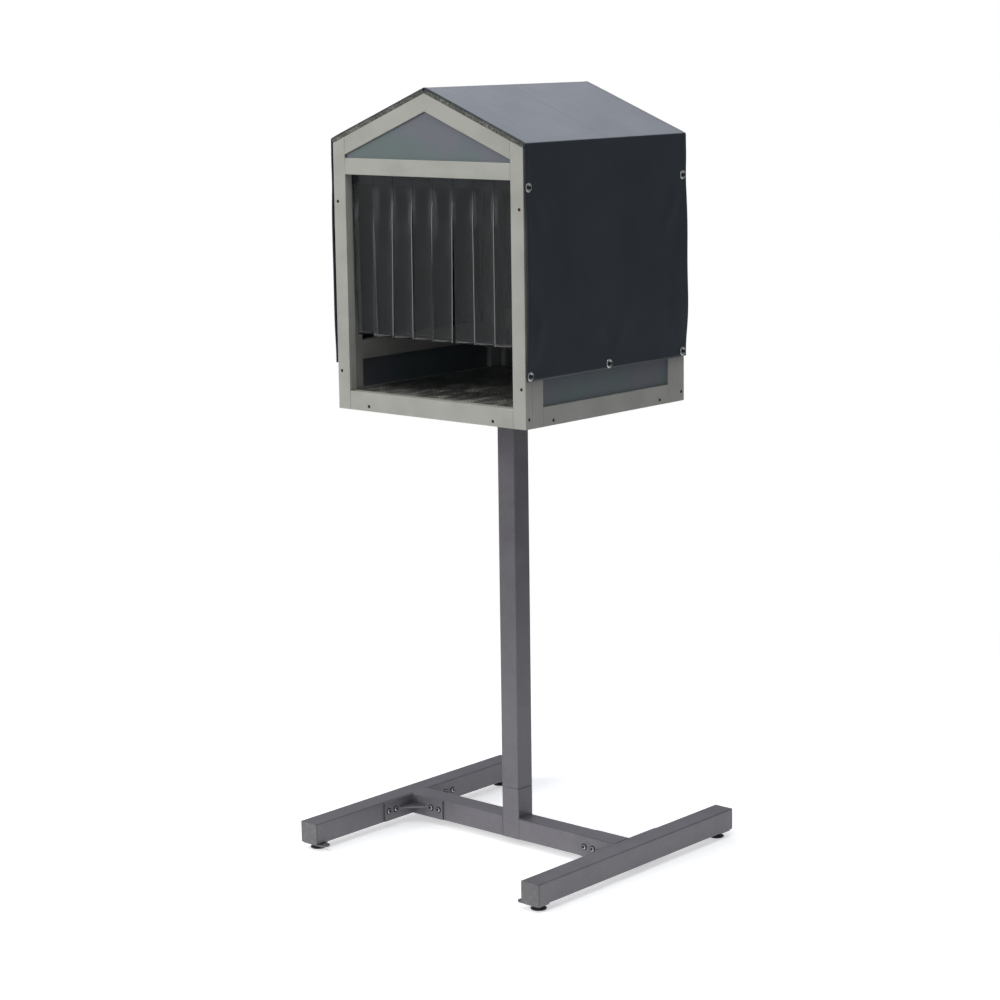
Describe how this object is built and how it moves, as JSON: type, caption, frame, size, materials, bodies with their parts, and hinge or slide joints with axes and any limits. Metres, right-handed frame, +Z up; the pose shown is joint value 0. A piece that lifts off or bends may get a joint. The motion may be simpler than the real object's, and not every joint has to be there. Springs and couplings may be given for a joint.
{
  "type": "raised calf hutch",
  "caption": "Small gabled timber hutch on a steel post with an H-shaped base, clear strip curtain in the doorway and a fabric cover over roof and sides.",
  "frame": {"origin": "on the floor plane under the axis of the post, at the middle of the base", "axes": "+Z up, the front (doorway) towards -Y, +X to the right of someone facing the doorway"},
  "size_m": [0.93, 0.9, 2.2425],
  "materials": {
    "painted_timber": "matt painted planed softwood, warm light grey",
    "infill_sheet": "satin blue-grey infill sheet",
    "painted_steel": "grey powder coat with fine metallic fleck",
    "cap_plastic": "moulded grey plastic",
    "zinc_steel": "bright zinc plate",
    "foot_plastic": "moulded black plastic pad on a steel stud",
    "floor_board": "dark film-faced ply with a non-slip mesh print",
    "bare_timber": "planed softwood",
    "roof_board": "dark mineral-coated board",
    "cover_fabric": "blue-black coated fabric, soft sheen",
    "eyelet_chrome": "bright plated ring",
    "peg_plastic": "moulded black peg",
    "clear_pvc": "clear flexible sheet with a slight smoke tint",
    "screw_bronze": "dull bronze-coated countersunk screws"
  },
  "bodies": {
    "hutch_and_stand": {"anchor_lugs": "painted_steel", "base_rail_left": "painted_steel", "base_rail_right": "painted_steel", "bracket_bolts": "zinc_steel", "corner_brackets": "painted_steel", "cover_pegs": "peg_plastic", "cover_roof": "cover_fabric", "crossbar_left": "painted_steel", "crossbar_right": "painted_steel", "curtain_batten": "painted_timber", "curtain_head": "clear_pvc", "floor_joists": "bare_timber", "floor_panel": "floor_board", "foot_lock_nuts": "zinc_steel", "frame_screws": "screw_bronze", "front_bottom_rail": "painted_timber", "front_gable_panel": "infill_sheet", "front_lintel": "painted_timber", "front_rafters": "painted_timber", "front_stile_left": "painted_timber", "front_stile_right": "painted_timber", "post": "painted_steel", "post_socket": "painted_steel", "post_spigot": "painted_steel", "post_top_plate": "painted_steel", "rail_end_caps": "cap_plastic", "rear_bottom_rail": "painted_timber", "rear_gable_panel": "infill_sheet", "rear_lintel": "painted_timber", "rear_mid_rail": "painted_timber", "rear_panels": "infill_sheet", "rear_rafters": "painted_timber", "rear_stile_left": "painted_timber", "rear_stile_right": "painted_timber", "roof_board_left": "roof_board", "roof_board_right": "roof_board", "side_left_panel": "infill_sheet", "side_left_rails": "painted_timber", "side_left_stiles": "painted_timber", "side_right_panel": "infill_sheet", "side_right_rails": "painted_timber", "side_right_stiles": "painted_timber", "top_plate_screws": "zinc_steel"},
    "strip_1": {"curtain_strip_1": "clear_pvc"},
    "strip_2": {"curtain_strip_2": "clear_pvc"},
    "strip_3": {"curtain_strip_3": "clear_pvc"},
    "strip_4": {"curtain_strip_4": "clear_pvc"},
    "strip_5": {"curtain_strip_5": "clear_pvc"},
    "strip_6": {"curtain_strip_6": "clear_pvc"},
    "strip_7": {"curtain_strip_7": "clear_pvc"},
    "strip_8": {"curtain_strip_8": "clear_pvc"},
    "flap_left": {"cover_flap_left": "cover_fabric", "cover_eyelets_left": "eyelet_chrome"},
    "foot_front_left": {"foot_front_left": "foot_plastic"},
    "foot_rear_left": {"foot_rear_left": "foot_plastic"},
    "flap_right": {"cover_flap_right": "cover_fabric", "cover_eyelets_right": "eyelet_chrome"},
    "foot_front_right": {"foot_front_right": "foot_plastic"},
    "foot_rear_right": {"foot_rear_right": "foot_plastic"}
  },
  "joints": [
    {"name": "strip_1_swing", "type": "hinge", "parent": "hutch_and_stand", "child": "strip_1", "pos_m": [-0.266, -0.325, 1.966], "axis": [1, 0, 0], "range_deg": [-90, 90]},
    {"name": "strip_2_swing", "type": "hinge", "parent": "hutch_and_stand", "child": "strip_2", "pos_m": [-0.19, -0.325, 1.966], "axis": [1, 0, 0], "range_deg": [-90, 90]},
    {"name": "strip_3_swing", "type": "hinge", "parent": "hutch_and_stand", "child": "strip_3", "pos_m": [-0.114, -0.325, 1.966], "axis": [1, 0, 0], "range_deg": [-90, 90]},
    {"name": "strip_4_swing", "type": "hinge", "parent": "hutch_and_stand", "child": "strip_4", "pos_m": [-0.038, -0.325, 1.966], "axis": [1, 0, 0], "range_deg": [-90, 90]},
    {"name": "strip_5_swing", "type": "hinge", "parent": "hutch_and_stand", "child": "strip_5", "pos_m": [0.038, -0.325, 1.966], "axis": [1, 0, 0], "range_deg": [-90, 90]},
    {"name": "strip_6_swing", "type": "hinge", "parent": "hutch_and_stand", "child": "strip_6", "pos_m": [0.114, -0.325, 1.966], "axis": [1, 0, 0], "range_deg": [-90, 90]},
    {"name": "strip_7_swing", "type": "hinge", "parent": "hutch_and_stand", "child": "strip_7", "pos_m": [0.19, -0.325, 1.966], "axis": [1, 0, 0], "range_deg": [-90, 90]},
    {"name": "strip_8_swing", "type": "hinge", "parent": "hutch_and_stand", "child": "strip_8", "pos_m": [0.266, -0.325, 1.966], "axis": [1, 0, 0], "range_deg": [-90, 90]},
    {"name": "flap_left_lift", "type": "hinge", "parent": "hutch_and_stand", "child": "flap_left", "pos_m": [-0.36225, 0, 2.09854], "axis": [0, 1, 0], "range_deg": [0, 180]},
    {"name": "flap_right_lift", "type": "hinge", "parent": "hutch_and_stand", "child": "flap_right", "pos_m": [0.36225, 0, 2.09854], "axis": [0, -1, 0], "range_deg": [0, 180]},
    {"name": "foot_front_left_screw", "type": "slide", "parent": "hutch_and_stand", "child": "foot_front_left", "axis": [0, 0, -1], "range_m": [-0.003, 0.015]},
    {"name": "foot_rear_left_screw", "type": "slide", "parent": "hutch_and_stand", "child": "foot_rear_left", "axis": [0, 0, -1], "range_m": [-0.003, 0.015]},
    {"name": "foot_front_right_screw", "type": "slide", "parent": "hutch_and_stand", "child": "foot_front_right", "axis": [0, 0, -1], "range_m": [-0.003, 0.015]},
    {"name": "foot_rear_right_screw", "type": "slide", "parent": "hutch_and_stand", "child": "foot_rear_right", "axis": [0, 0, -1], "range_m": [-0.003, 0.015]}
  ]
}
